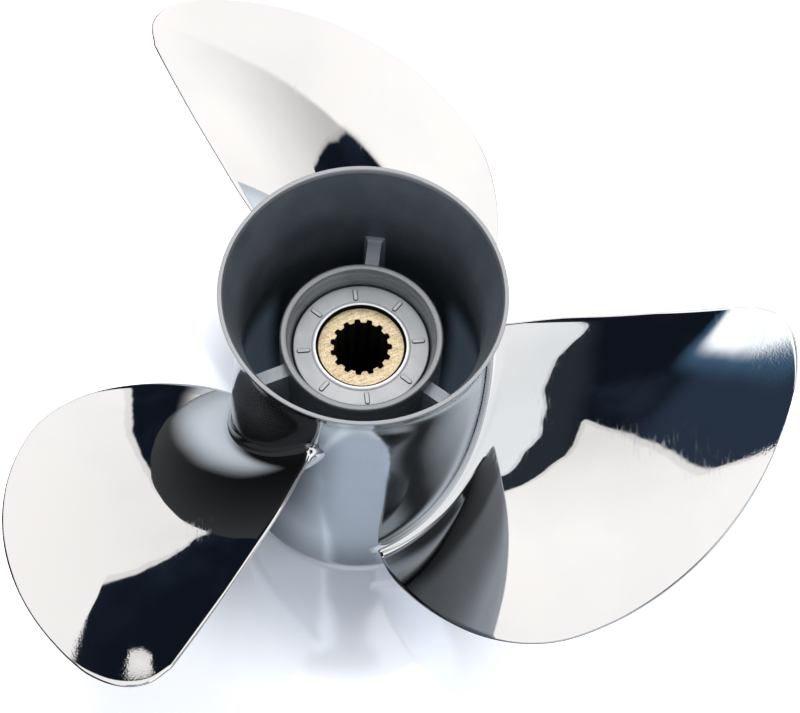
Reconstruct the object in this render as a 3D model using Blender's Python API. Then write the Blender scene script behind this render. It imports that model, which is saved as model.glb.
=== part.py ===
"""Through-hub exhaust boat propeller, three blades, right-hand, polished stainless steel.

Units are metres. +Z runs along the shaft axis towards the aft end, which is also up here,
because the propeller stands on the front end of its hub. Heights in the constants are
counted from that front end. A parent empty then lowers everything by CENTRE_HEIGHT, so
the origin is the balance point of the propeller, on the shaft axis.
"""
import math

import bmesh
import bpy
import numpy as np

# Driving dimensions of the hub barrel
HUB_LENGTH = 0.160
RIM_RADIUS = 0.0565
BARREL_PROFILE = (
    (0.000, 0.0537), (0.048, 0.0546), (0.090, 0.0526), (0.119, 0.0510),
    (0.135, 0.0514), (0.150, 0.0537), (HUB_LENGTH, RIM_RADIUS),
)
BARREL_WALL = 0.0030
LIP_WIDTH = 0.0017
LIP_TAPER = 0.024
LIP_ROUNDING = 0.0005
FRONT_CHAMFER = (0.0009, 0.0026)
BARREL_STATIONS = (0.024, 0.048, 0.070, 0.092, 0.110, 0.124, 0.135, 0.142, 0.150)
BARREL_SEGMENTS = 72

# Driving dimensions of the inner hub and what sits in it
INNER_HUB_RADIUS = 0.0331
INNER_HUB_NOSE_RADIUS = 0.0285
INNER_HUB_FRONT = 0.018
INNER_HUB_AFT = 0.1216
INNER_HUB_NOSE_RISE = 0.008
INNER_HUB_CHAMFER = 0.0009
LIP_BORE_RADIUS = 0.0302
LIP_BORE_CHAMFER = 0.0006
BORE_RADIUS = 0.0296
BORE_STEP_DEPTH = 0.0036
FLANGE_THICKNESS = 0.014
SLEEVE_RADIUS = 0.0177
SLEEVE_AFT = 0.1118
SLEEVE_CHAMFER = 0.0004
SPLINE_TEETH = 15
SPLINE_MAJOR_RADIUS = 0.01254
SPLINE_MINOR_RADIUS = 0.0110
SPLINE_FIRST_GROOVE = math.radians(3.4)
SPLINE_STEEPNESS = 1.7
SPLINE_SAMPLES = 6
PLATE_RADIUS = 0.0276
PLATE_CHAMFER = 0.0005
PLATE_HOLE_RADIUS = 0.01805
PLATE_LIP_RADIUS = 0.0188
PLATE_LIP_HEIGHT = 0.0006
PLATE_LIP_CHAMFER = 0.0002
PLATE_FACE = 0.1126
PLATE_THICKNESS = 0.005
DASH_COUNT = 8
DASH_FIRST_ANGLE = math.radians(98)
DASH_SPAN = (0.0193, 0.0262)
DASH_WIDTH = 0.0017
DASH_HEIGHT = 0.0005

# Driving dimensions of the ribs
RIB_ANGLES = (85.3, 205.3, 325.3)
RIB_THICKNESS = 0.0056
RIB_INNER_FILLET = 0.0015
RIB_OUTER_FILLET = 0.0026
RIB_FRONT = 0.026
RIB_AFT = 0.1164

# Driving dimensions of a blade: angles are counted anticlockwise from its reference line
BLADE_ANGLES = (90.0, 210.0, 330.0)
PITCH = 0.4008
LEAD_TAPER = -0.072
BLADE_HEIGHT = 0.0667
REFERENCE_RADIUS = 0.0525
CAMBER = 0.01164
CAMBER_TAPER = -0.037
RAKE = 0.194
RAKE_CURVE = 0.60
ROOT_RADIUS = 0.0600
LEADING_EDGE = (
    (ROOT_RADIUS, -47.2), (0.0712, -44.8), (0.0955, -37.3), (0.1170, -30.0), (0.1339, -22.3),
    (0.1452, -14.3), (0.1535, -7.0), (0.1606, 0.8), (0.1661, 8.4), (0.1703, 15.6), (0.1736, 22.9),
)
TIP_EDGE = ((0.1736, 22.9), (0.1746, 26.8), (0.1727, 31.0), (0.1670, 34.1), (0.1580, 35.7))
TRAILING_EDGE = ((ROOT_RADIUS, 39.5), (0.0800, 38.9), (0.1028, 37.6), (0.1300, 36.6), (0.1580, 35.7))
EDGE_THICKNESS = 0.0024
EDGE_CROWN = 0.00096
ROOT_THICKNESS = 0.0088
TIP_THICKNESS = 0.0042
CHORD_FULLNESS = 0.8
TIP_FADE = 6
ROOT_FILLET = 0.0058
FOOT_EDGE = 0.0005
CHORD_STEPS = 16
SPAN_STEPS = 13
FILLET_STEPS = 3

# Clearance between neighbouring solids, and the height of the balance point
GAP = 0.0003
CENTRE_HEIGHT = 0.0745


# Curves

def smooth_curve(points, count):
    """Return count points on a Catmull-Rom curve through the given points."""
    knots = np.array(points, dtype=float)
    ends = (2 * knots[0] - knots[1], 2 * knots[-1] - knots[-2])
    knots = np.vstack((ends[0], knots, ends[1]))
    curve = []
    for place in np.linspace(0, len(points) - 1, count):
        first = min(int(place), len(points) - 2)
        t = place - first
        a, b, c, d = knots[first:first + 4]
        curve.append(0.5 * (2 * b + (c - a) * t + (2 * a - 5 * b + 4 * c - d) * t ** 2
                            + (3 * b - a - 3 * c + d) * t ** 3))
    return np.array(curve)


BARREL_CURVE = smooth_curve(BARREL_PROFILE, 121)


def barrel_radius(height):
    """Return the outer radius of the hub barrel at a height above its front end."""
    return float(np.interp(height, BARREL_CURVE[:, 0], BARREL_CURVE[:, 1]))


def barrel_wall(height):
    """Return the wall thickness of the barrel, which thins towards the aft lip."""
    return float(np.interp(height, (HUB_LENGTH - LIP_TAPER, HUB_LENGTH), (BARREL_WALL, LIP_WIDTH)))


def bore_of_barrel(height):
    """Return the inner radius of the hub barrel at a height above its front end."""
    return barrel_radius(height) - barrel_wall(height)


def bezier(start, control, end, t):
    """Return a point on a curve with one control point."""
    return (1 - t) ** 2 * start + 2 * t * (1 - t) * control + t ** 2 * end


def from_cylinder(point):
    """Turn (radius, angle, height) into (x, y, z)."""
    radius, angle, height = point
    return (radius * math.cos(angle), radius * math.sin(angle), height)


# Objects

def steel(name, color, roughness, metallic=1.0):
    """Make the plain material of one part."""
    material = bpy.data.materials.new(name)
    material.use_nodes = True
    shader = material.node_tree.nodes["Principled BSDF"]
    shader.inputs["Base Color"].default_value = (*color, 1.0)
    shader.inputs["Roughness"].default_value = roughness
    shader.inputs["Metallic"].default_value = metallic
    return material


def add_object(name, mesh, material, parent, turn=0.0):
    """Link an object that shares the mesh, turned about the shaft axis."""
    piece = bpy.data.objects.new(name, mesh)
    if not mesh.materials:
        mesh.materials.append(material)
    piece.rotation_euler = (0.0, 0.0, turn)
    piece.parent = parent
    bpy.context.scene.collection.objects.link(piece)
    return piece


def finish_mesh(name, bm, sharp_angle=35):
    """Turn a bmesh into a mesh with outward faces and smooth shading."""
    bmesh.ops.recalc_face_normals(bm, faces=bm.faces)
    mesh = bpy.data.meshes.new(name)
    bm.to_mesh(mesh)
    bm.free()
    mesh.shade_smooth()
    mesh.set_sharp_from_angle(angle=math.radians(sharp_angle))
    return mesh


def turned_mesh(name, profile, segments):
    """Spin a closed profile of (radius, height) points about the shaft axis."""
    bm = bmesh.new()
    verts = [bm.verts.new((radius, 0.0, height)) for radius, height in profile]
    edges = [bm.edges.new((verts[i - 1], verts[i])) for i in range(len(verts))]
    bmesh.ops.spin(
        bm, geom=verts + edges, cent=(0, 0, 0), axis=(0, 0, 1),
        angle=2 * math.pi, steps=segments, use_merge=True,
    )
    return finish_mesh(name, bm)


def join_rings(bm, rings):
    """Lay quads between neighbouring closed rings of vertices."""
    for lower, upper in zip(rings, rings[1:]):
        for i in range(len(lower)):
            bm.faces.new((lower[i - 1], lower[i], upper[i], upper[i - 1]))


# Hub barrel

def barrel_profile():
    """Return the section of the barrel wall: down the outside and up the inside."""
    inset, rise = FRONT_CHAMFER
    profile = [(RIM_RADIUS - LIP_ROUNDING, HUB_LENGTH), (RIM_RADIUS, HUB_LENGTH - LIP_ROUNDING)]
    profile += [(barrel_radius(height), height) for height in BARREL_STATIONS[::-1] + (rise,)]
    profile.append((barrel_radius(0) - inset, 0.0))
    profile += [(bore_of_barrel(height), height) for height in (0.0,) + BARREL_STATIONS]
    lip_bore = bore_of_barrel(HUB_LENGTH)
    profile += [(lip_bore, HUB_LENGTH - LIP_ROUNDING), (lip_bore + LIP_ROUNDING, HUB_LENGTH)]
    return profile


# Blades

def edge_point(edge, place):
    """Return (radius, angle in degrees) at a place from 0 to 1 along an outline edge."""
    curve = smooth_curve(edge, 49)
    radii, angles = curve[:, 0], np.radians(curve[:, 1])
    steps = np.hypot(np.diff(radii * np.cos(angles)), np.diff(radii * np.sin(angles)))
    run = np.concatenate(([0.0], np.cumsum(steps)))
    place *= run[-1]
    return np.array((np.interp(place, run, curve[:, 0]), np.interp(place, run, curve[:, 1])))


def plan_point(across, along):
    """Blend the outline edges: across runs from leading to trailing edge, along from root to tip."""
    first, last = np.array(TIP_EDGE[0]), np.array(TIP_EDGE[-1])
    bulge = edge_point(TIP_EDGE, across) - (first + across * (last - first))
    sides = (1 - across) * edge_point(LEADING_EDGE, along) + across * edge_point(TRAILING_EDGE, along)
    return along * bulge + sides


def face_height(radius, angle):
    """Return the height of the aft blade face: a raked screw surface with progressive pitch."""
    reach = radius - REFERENCE_RADIUS
    lead = PITCH / (2 * math.pi) + LEAD_TAPER * reach
    camber = CAMBER + CAMBER_TAPER * reach
    return BLADE_HEIGHT + lead * angle + camber * angle ** 2 + RAKE * reach + RAKE_CURVE * reach ** 2


def face_normal(radius, angle):
    """Return the unit normal of the aft blade face as (radial, tangential, axial)."""
    reach = radius - REFERENCE_RADIUS
    slope_out = LEAD_TAPER * angle + CAMBER_TAPER * angle ** 2 + RAKE + 2 * RAKE_CURVE * reach
    lead = PITCH / (2 * math.pi) + LEAD_TAPER * reach
    slope_round = (lead + 2 * (CAMBER + CAMBER_TAPER * reach) * angle) / radius
    normal = np.array((-slope_out, -slope_round, 1.0))
    return normal / np.linalg.norm(normal)


def blade_thickness(across, along):
    """Return the thickness of the section: full at mid-chord, thin at the edges and the tip."""
    full = ROOT_THICKNESS + (TIP_THICKNESS - ROOT_THICKNESS) * along
    bow = (4 * across * (1 - across)) ** CHORD_FULLNESS * (1 - along ** TIP_FADE)
    return EDGE_THICKNESS + (full - EDGE_THICKNESS) * bow


def section_pair(across, along):
    """Return the points on the aft and front faces as (radius, angle, height)."""
    radius, degrees = plan_point(across, along)
    angle = math.radians(degrees)
    height = face_height(radius, angle)
    depth = face_normal(radius, angle) * blade_thickness(across, along)
    aft = np.array((radius, angle, height))
    front = np.array((radius - depth[0], angle - depth[1] / radius, height - depth[2]))
    return aft, front


def edge_middle(aft, front, outward):
    """Return the crown of a rounded edge, halfway through it and pushed outward."""
    return (aft + front) / 2 + EDGE_CROWN * np.array(outward)


def section_ring(along):
    """Return one closed section: aft face, trailing edge, front face, leading edge."""
    pairs = [section_pair(i / CHORD_STEPS, along) for i in range(CHORD_STEPS + 1)]
    aft = [pair[0] for pair in pairs]
    front = [pair[1] for pair in pairs]
    slope = PITCH / (2 * math.pi)
    lean = math.atan2(slope, aft[-1][0])
    back = (0.0, math.cos(lean) / aft[-1][0], math.sin(lean))
    lean = math.atan2(slope, aft[0][0])
    ahead = (0.0, -math.cos(lean) / aft[0][0], -math.sin(lean))
    return aft + [edge_middle(aft[-1], front[-1], back)] + front[::-1] + [edge_middle(aft[0], front[0], ahead)]


def foot_rings(section):
    """Return the rings that flare the lowest section out to the barrel in a root fillet."""
    sharp = []
    for radius, angle, height in section:
        drop = RAKE * (radius - barrel_radius(height))
        sharp.append(np.array((barrel_radius(height - drop), angle, height - drop)))
    flat = np.array([(REFERENCE_RADIUS * point[1], point[2]) for point in sharp])
    tangent = np.roll(flat, -1, axis=0) - np.roll(flat, 1, axis=0)
    tangent /= np.linalg.norm(tangent, axis=1)[:, None]
    away = np.stack((-tangent[:, 1], tangent[:, 0]), axis=1)
    spread = flat + ROOT_FILLET * away
    seat = [np.array((barrel_radius(h) + GAP + FOOT_EDGE, s / REFERENCE_RADIUS, h)) for s, h in spread]
    rings = []
    for step in range(1, FILLET_STEPS + 1):
        t = step / FILLET_STEPS
        rings.append([bezier(a, b, c, t) for a, b, c in zip(section, sharp, seat)])
    under = [np.array((barrel_radius(point[2]) + GAP, point[1], point[2])) for point in seat]
    return rings[::-1], under


def cap_ring(bm, ring, middle_rows):
    """Close a section ring with rows of quads between its aft and front faces."""
    count = CHORD_STEPS + 1
    aft = ring[:count]
    front = ring[count + 1:2 * count + 1][::-1]
    rows = [aft] + middle_rows + [front]
    for first, second in zip(rows, rows[1:]):
        for i in range(CHORD_STEPS):
            bm.faces.new((first[i], first[i + 1], second[i + 1], second[i]))
    bm.faces.new([row[-1] for row in rows] + [ring[count]])
    bm.faces.new([row[0] for row in rows] + [ring[-1]])


def between_rows(ring, share):
    """Return the points at a share of the way from the aft face to the front face of a ring."""
    count = CHORD_STEPS + 1
    front = ring[count + 1:2 * count + 1][::-1]
    return [(1 - share) * a + share * b for a, b in zip(ring[:count], front)]


def blade_mesh():
    """Loft one blade from its foot on the barrel to its tip."""
    bm = bmesh.new()
    sections = [section_ring(i / SPAN_STEPS) for i in range(SPAN_STEPS + 1)]
    fillets, under = foot_rings(sections[0])
    rings = [[bm.verts.new(from_cylinder(p)) for p in ring] for ring in [under] + fillets + sections]
    join_rings(bm, rings)
    foot_rows = []
    for share in (1 / 3, 2 / 3):
        row = between_rows(under, share)
        foot_rows.append([bm.verts.new(from_cylinder((barrel_radius(p[2]) + GAP, p[1], p[2]))) for p in row])
    cap_ring(bm, rings[0], foot_rows)
    crown = [p + np.array((EDGE_CROWN, 0.0, 0.0)) for p in between_rows(sections[-1], 0.5)]
    cap_ring(bm, rings[-1], [[bm.verts.new(from_cylinder(p)) for p in crown]])
    return finish_mesh("blade", bm)


# Ribs

def rib_flare(radius, fillet, way):
    """Return the curve that leaves a rib's flat side and meets the wall at a radius."""
    half = RIB_THICKNESS / 2
    reach = (half + fillet) / radius
    start = np.array((radius + way * fillet, half))
    corner = np.array((radius, half))
    end = np.array((radius * math.cos(reach), radius * math.sin(reach)))
    return [bezier(start, corner, end, t) for t in (0.0, 0.3, 0.6, 1.0)]


def rib_seat(radius, fillet):
    """Return the curved end of a rib that lies against a wall, without its two corners."""
    reach = (RIB_THICKNESS / 2 + fillet) / radius
    angles = np.linspace(reach, -reach, 5)[1:-1]
    return [np.array((radius * math.cos(angle), radius * math.sin(angle))) for angle in angles]


def rib_ring(height):
    """Return the section of a rib at one height, flared where it meets both walls."""
    inner, outer = INNER_HUB_RADIUS + GAP, bore_of_barrel(height) - GAP
    side = rib_flare(inner, RIB_INNER_FILLET, 1)[::-1] + rib_flare(outer, RIB_OUTER_FILLET, -1)
    mirrored = [point * (1, -1) for point in side[::-1]]
    outline = side + rib_seat(outer, RIB_OUTER_FILLET) + mirrored + rib_seat(inner, RIB_INNER_FILLET)[::-1]
    return [(x, y, height) for x, y in outline]


def rib_mesh():
    """Loft a rib between the inner hub and the barrel, whose bore narrows aft."""
    bm = bmesh.new()
    heights = np.linspace(RIB_FRONT, RIB_AFT, 6)
    rings = [[bm.verts.new(point) for point in rib_ring(height)] for height in heights]
    join_rings(bm, rings)
    bm.faces.new(rings[0])
    bm.faces.new(rings[-1])
    return finish_mesh("rib", bm)


# Inner hub, rubber, end plate and splined sleeve

def inner_hub_profile():
    """Return the section of the inner hub: a cup with a stepped aft lip and a front flange."""
    flange_top = INNER_HUB_FRONT + FLANGE_THICKNESS
    hole = SLEEVE_RADIUS + GAP
    edge, lip = INNER_HUB_CHAMFER, LIP_BORE_CHAMFER
    return [
        (LIP_BORE_RADIUS + lip, INNER_HUB_AFT), (INNER_HUB_RADIUS - edge, INNER_HUB_AFT),
        (INNER_HUB_RADIUS, INNER_HUB_AFT - edge), (INNER_HUB_RADIUS, INNER_HUB_FRONT + INNER_HUB_NOSE_RISE),
        (INNER_HUB_NOSE_RADIUS, INNER_HUB_FRONT), (hole, INNER_HUB_FRONT), (hole, flange_top),
        (BORE_RADIUS, flange_top), (BORE_RADIUS, INNER_HUB_AFT - BORE_STEP_DEPTH),
        (LIP_BORE_RADIUS, INNER_HUB_AFT - BORE_STEP_DEPTH), (LIP_BORE_RADIUS, INNER_HUB_AFT - lip),
    ]


def rubber_profile():
    """Return the section of the rubber bushing that grips the sleeve inside the inner hub."""
    low = INNER_HUB_FRONT + FLANGE_THICKNESS + GAP
    high = PLATE_FACE - PLATE_THICKNESS - GAP
    outer, inner = BORE_RADIUS - GAP, SLEEVE_RADIUS + GAP
    return [(outer, high), (outer, low), (inner, low), (inner, high)]


def plate_profile():
    """Return the section of the end plate with its raised lip round the sleeve."""
    low = PLATE_FACE - PLATE_THICKNESS
    lip = PLATE_FACE + PLATE_LIP_HEIGHT
    edge, fine = PLATE_CHAMFER, PLATE_LIP_CHAMFER
    return [
        (PLATE_LIP_RADIUS, PLATE_FACE), (PLATE_RADIUS - edge, PLATE_FACE), (PLATE_RADIUS, PLATE_FACE - edge),
        (PLATE_RADIUS, low), (PLATE_HOLE_RADIUS, low), (PLATE_HOLE_RADIUS, lip - fine),
        (PLATE_HOLE_RADIUS + fine, lip), (PLATE_LIP_RADIUS - fine, lip),
    ]


def dash_mesh():
    """Make the raised dashes of the end plate as one mesh of separate bars with round ends."""
    bm = bmesh.new()
    half = DASH_WIDTH / 2
    first, last = DASH_SPAN[0] + half, DASH_SPAN[1] - half
    outline = [(last + half * math.cos(a), half * math.sin(a)) for a in np.radians((-90, -45, 0, 45, 90))]
    outline += [(first - half * math.cos(a), half * math.sin(a)) for a in np.radians((90, 45, 0, -45, -90))]
    for index in range(DASH_COUNT):
        turn = DASH_FIRST_ANGLE + index * 2 * math.pi / DASH_COUNT
        cos, sin = math.cos(turn), math.sin(turn)
        ends = []
        for height in (PLATE_FACE - PLATE_THICKNESS / 4, PLATE_FACE + DASH_HEIGHT):
            ends.append([bm.verts.new((x * cos - y * sin, x * sin + y * cos, height)) for x, y in outline])
        join_rings(bm, ends)
        bm.faces.new(ends[0])
        bm.faces.new(ends[1])
    return finish_mesh("dashes", bm)


def sleeve_mesh():
    """Make the splined sleeve: a round outside and a bore with a rounded wave of teeth."""
    bm = bmesh.new()
    count = SPLINE_TEETH * SPLINE_SAMPLES
    angles = [SPLINE_FIRST_GROOVE + 2 * math.pi * i / count for i in range(count)]
    middle = (SPLINE_MAJOR_RADIUS + SPLINE_MINOR_RADIUS) / 2
    swing = (SPLINE_MAJOR_RADIUS - SPLINE_MINOR_RADIUS) / 2
    waves = [math.cos(SPLINE_TEETH * (a - SPLINE_FIRST_GROOVE)) for a in angles]
    bore = [middle + swing * max(-1.0, min(1.0, SPLINE_STEEPNESS * wave)) for wave in waves]
    outside = [SLEEVE_RADIUS] * count
    rim = [SLEEVE_RADIUS - SLEEVE_CHAMFER] * count
    low, high = INNER_HUB_FRONT, SLEEVE_AFT
    levels = (
        (bore, low), (rim, low), (outside, low + SLEEVE_CHAMFER),
        (outside, high - SLEEVE_CHAMFER), (rim, high), (bore, high),
    )
    rings = []
    for radii, height in levels:
        rings.append([bm.verts.new(from_cylinder((r, a, height))) for r, a in zip(radii, angles)])
    join_rings(bm, rings + rings[:1])
    return finish_mesh("drive_sleeve", bm)


def build():
    """Make the whole propeller."""
    for old in list(bpy.data.objects):
        bpy.data.objects.remove(old, do_unlink=True)
    axis = bpy.data.objects.new("shaft_axis", None)
    axis.location = (0.0, 0.0, -CENTRE_HEIGHT)
    bpy.context.scene.collection.objects.link(axis)

    polished = steel("polished_steel", (0.72, 0.74, 0.77), 0.08)
    cast = steel("cast_steel", (0.42, 0.43, 0.44), 0.55)
    machined = steel("machined_steel", (0.55, 0.56, 0.57), 0.35)
    plate = steel("grey_plate", (0.62, 0.63, 0.64), 0.42)
    rubber = steel("black_rubber", (0.02, 0.02, 0.02), 0.75, metallic=0.0)
    brass = steel("drive_brass", (0.78, 0.62, 0.33), 0.38)

    add_object("hub_barrel", turned_mesh("hub_barrel", barrel_profile(), BARREL_SEGMENTS), polished, axis)
    blade = blade_mesh()
    for number, angle in enumerate(BLADE_ANGLES, 1):
        add_object(f"blade_{number}", blade, polished, axis, math.radians(angle))
    rib = rib_mesh()
    for number, angle in enumerate(RIB_ANGLES, 1):
        add_object(f"rib_{number}", rib, cast, axis, math.radians(angle))
    add_object("inner_hub", turned_mesh("inner_hub", inner_hub_profile(), 60), machined, axis)
    add_object("rubber_bushing", turned_mesh("rubber_bushing", rubber_profile(), 48), rubber, axis)
    end_plate = add_object("end_plate", turned_mesh("end_plate", plate_profile(), 64), plate, axis)
    dashes = add_object("dash_cutter", dash_mesh(), plate, axis)
    dashes.hide_render = True
    dashes.display_type = "WIRE"
    union = end_plate.modifiers.new("raised_dashes", "BOOLEAN")
    union.operation = "UNION"
    union.object = dashes
    add_object("drive_sleeve", sleeve_mesh(), brass, axis)


build()
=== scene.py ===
# %% [markdown]
# A polished propeller in a light tent
#
# The object is the stainless steel propeller of an outboard motor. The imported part
# already has every size right, with few faces. This lesson lays fine, smooth pieces over
# its solids, gives each metal the finish of the real one, and then builds the studio that
# the mirror polish shows: a mirror has no look of its own, so its light is half the work.

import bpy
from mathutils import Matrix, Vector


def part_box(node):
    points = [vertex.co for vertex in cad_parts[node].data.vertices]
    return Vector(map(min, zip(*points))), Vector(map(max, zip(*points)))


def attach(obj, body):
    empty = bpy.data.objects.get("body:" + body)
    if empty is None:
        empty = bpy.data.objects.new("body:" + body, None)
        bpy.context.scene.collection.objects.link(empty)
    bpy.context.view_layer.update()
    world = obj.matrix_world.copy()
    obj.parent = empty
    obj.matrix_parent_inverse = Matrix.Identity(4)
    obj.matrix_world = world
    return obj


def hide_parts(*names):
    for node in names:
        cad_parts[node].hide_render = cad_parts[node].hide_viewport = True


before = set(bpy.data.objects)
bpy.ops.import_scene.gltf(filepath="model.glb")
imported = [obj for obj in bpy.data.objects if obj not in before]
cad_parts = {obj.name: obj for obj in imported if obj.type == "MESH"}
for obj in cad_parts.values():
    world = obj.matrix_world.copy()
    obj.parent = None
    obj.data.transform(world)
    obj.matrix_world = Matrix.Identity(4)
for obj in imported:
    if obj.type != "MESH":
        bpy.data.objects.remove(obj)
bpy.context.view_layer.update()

# %% Tools
import math

import bmesh
import bpy
import numpy as np
from mathutils import Matrix, Vector

FRONT_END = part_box("hub_barrel")[0].z
print("The hub stands on its front end at z =", round(FRONT_END, 4))

# %% [markdown]
# Shared ways of making a material
#
# A material is a small network of nodes. Writing one line for a node keeps a network
# readable: the helper below adds the node, sets its options, and then either links each
# input to another node's output or gives it a plain value.

# %% A line for a node
def add_node(tree, kind, inputs=None, **options):
    """Add a shader node, set its options, and link or fill the inputs that are named."""
    node = tree.nodes.new("ShaderNode" + kind)
    for name, value in options.items():
        setattr(node, name, value)
    for name, value in (inputs or {}).items():
        if isinstance(value, bpy.types.NodeSocket):
            tree.links.new(value, node.inputs[name])
        else:
            node.inputs[name].default_value = value
    return node


def calculate(tree, operation, first, second=0.0, third=0.0):
    """Return the output of a Math node."""
    return add_node(tree, "Math", {0: first, 1: second, 2: third}, operation=operation).outputs[0]


def fade(tree, value, low, high, start=0.0, end=1.0):
    """Return a smooth change from start to end while the value goes from low to high."""
    inputs = {"Value": value, "From Min": low, "From Max": high, "To Min": start, "To Max": end}
    return add_node(tree, "MapRange", inputs, interpolation_type="SMOOTHSTEP").outputs["Result"]


def add_noise(tree, place, scale, detail):
    """Return the outputs of a noise texture."""
    return add_node(tree, "TexNoise", {"Vector": place, "Scale": scale, "Detail": detail}).outputs


def vector_math(tree, operation, first, second=(0.0, 0.0, 0.0)):
    """Return the vector output of a Vector Math node."""
    return add_node(tree, "VectorMath", {0: first, 1: second}, operation=operation).outputs[0]


def scale_color(tree, color, amount):
    """Return a colour times a number."""
    return add_node(tree, "VectorMath", {0: color, "Scale": amount}, operation="SCALE").outputs[0]


def from_axis(tree, place):
    """Return how far a place lies from the shaft axis."""
    flat = vector_math(tree, "MULTIPLY", place, (1.0, 1.0, 0.0))
    return add_node(tree, "VectorMath", {0: flat}, operation="LENGTH").outputs["Value"]


# %% A frame for a shader group
def new_group(name, inputs, outputs):
    """Start a node group with the sockets given, and return its tree with both ends."""
    tree = bpy.data.node_groups.new(name, "ShaderNodeTree")
    for label, kind, value in inputs:
        socket = tree.interface.new_socket(label, in_out="INPUT", socket_type="NodeSocket" + kind)
        if value is not None:
            socket.default_value = value
    for label, kind in outputs:
        tree.interface.new_socket(label, in_out="OUTPUT", socket_type="NodeSocket" + kind)
    return tree, tree.nodes.new("NodeGroupInput").outputs, tree.nodes.new("NodeGroupOutput").inputs


# %% [markdown]
# Effects that several finishes share
#
# Three things happen to the metal of this propeller. Hand polishing on a soft wheel leaves
# long shallow waves, which make straight reflections wander, and hair-fine marks. A lathe
# leaves rings round the shaft axis. The sand of the casting mould leaves a grained skin.
# Each is a node group, built once, that reads Object coordinates and puts out heights and
# masks. Every material then uses it with values of its own.

# %% Group for hand polishing
tree, given, result = new_group(
    "hand_polish",
    [("Place", "Vector", None), ("Waves per metre", "Float", 30.0), ("Marks per metre", "Float", 900.0)],
    [("Waves", "Float"), ("Marks", "Float"), ("Patches", "Float")],
)
waves = add_noise(tree, given["Place"], given["Waves per metre"], 1.0)
tree.links.new(waves["Fac"], result["Waves"])
along_wheel = {"Vector": given["Place"], "Rotation": (0.4, 0.0, 0.9), "Scale": (1.0, 0.12, 0.4)}
stretched = add_node(tree, "Mapping", along_wheel).outputs[0]
marks = add_noise(tree, stretched, given["Marks per metre"], 3.0)
tree.links.new(marks["Fac"], result["Marks"])
patches = add_noise(tree, given["Place"], 22.0, 4.0)
tree.links.new(fade(tree, patches["Fac"], 0.42, 0.68), result["Patches"])

# %% Group for lathe rings
tree, given, result = new_group(
    "lathe_rings",
    [("Place", "Vector", None), ("Rings per metre", "Float", 2200.0)],
    [("Rings", "Float"), ("Bands", "Float")],
)
height = add_node(tree, "SeparateXYZ", {0: given["Place"]}).outputs["Z"]
path = calculate(tree, "ADD", from_axis(tree, given["Place"]), height)
fine_rings = {"W": path, "Scale": given["Rings per metre"], "Detail": 2.0}
fine = add_node(tree, "TexNoise", fine_rings, noise_dimensions="1D")
tree.links.new(fine.outputs["Fac"], result["Rings"])
broad = add_node(tree, "TexNoise", {"W": path, "Scale": 260.0, "Detail": 1.0}, noise_dimensions="1D")
tree.links.new(fade(tree, broad.outputs["Fac"], 0.35, 0.65), result["Bands"])

# %% Group for cast grain
tree, given, result = new_group(
    "cast_grain",
    [("Place", "Vector", None), ("Grains per metre", "Float", 1400.0)],
    [("Grain", "Float"), ("Stains", "Float")],
)
grain = add_noise(tree, given["Place"], given["Grains per metre"], 4.0)
pits = add_node(tree, "TexVoronoi", {"Vector": given["Place"], "Scale": given["Grains per metre"]})
pitted = calculate(tree, "MULTIPLY_ADD", pits.outputs["Distance"], 0.5, grain["Fac"])
tree.links.new(pitted, result["Grain"])
stains = add_noise(tree, given["Place"], 55.0, 5.0)
tree.links.new(fade(tree, stains["Fac"], 0.35, 0.7), result["Stains"])
print("Shader groups:", sorted(group.name for group in bpy.data.node_groups))

# %% Start of every metal
def new_metal(name, roughness, metallic=1.0):
    """Start a material and return it with its tree, its shader and the Object coordinates."""
    material = bpy.data.materials.new(name)
    material.use_nodes = True
    tree = material.node_tree
    shader = tree.nodes["Principled BSDF"]
    shader.inputs["Roughness"].default_value = roughness
    shader.inputs["Metallic"].default_value = metallic
    return material, tree, shader, add_node(tree, "TexCoord").outputs["Object"]


def use_group(tree, name, place, **values):
    """Place a shader group on the given coordinates with its own values."""
    node = add_node(tree, "Group", node_tree=bpy.data.node_groups[name])
    tree.links.new(place, node.inputs["Place"])
    for label, value in values.items():
        node.inputs[label.replace("_", " ")].default_value = value
    return node.outputs


def mix_colors(tree, mask, low, high):
    """Return a colour that goes from low to high with the mask; either may be a link."""
    node = tree.nodes.new("ShaderNodeMix")
    node.data_type = "RGBA"
    tree.links.new(mask, node.inputs[0])
    for socket, value in ((node.inputs[6], low), (node.inputs[7], high)):
        if isinstance(value, bpy.types.NodeSocket):
            tree.links.new(value, socket)
        else:
            socket.default_value = (*value, 1.0)
    return node.outputs[2]


def add_bump(tree, height, depth, below=None):
    """Return the normal of a surface with the height given, in metres, over another bump."""
    inputs = {"Height": height, "Strength": 1.0, "Distance": depth}
    if below is not None:
        inputs["Normal"] = below
    return add_node(tree, "Bump", inputs).outputs["Normal"]


# %% [markdown]
# Polished stainless steel
#
# Blades and hub are polished. The steel reflects a little less than two thirds of the
# light. A perfect mirror would look like a drawing, so the waves of the polishing wheel
# bend the surface by a few hundredths of a millimetre, and its marks lift the roughness in
# patches. The wheel can't follow the thin tip of a blade as well as the rest, so there the
# surface keeps a fine sparkle. The hub is polished less than the blades, and its steel is
# tinted darker and bluer: a painted reflection of the bluish shade on the sheet round it.

# %% Polished steel
WAVE_DEPTH = 0.00010
SPARKLE_DEPTH = 0.000006
SPARKLE_START, SPARKLE_FULL = 0.150, 0.168


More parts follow.
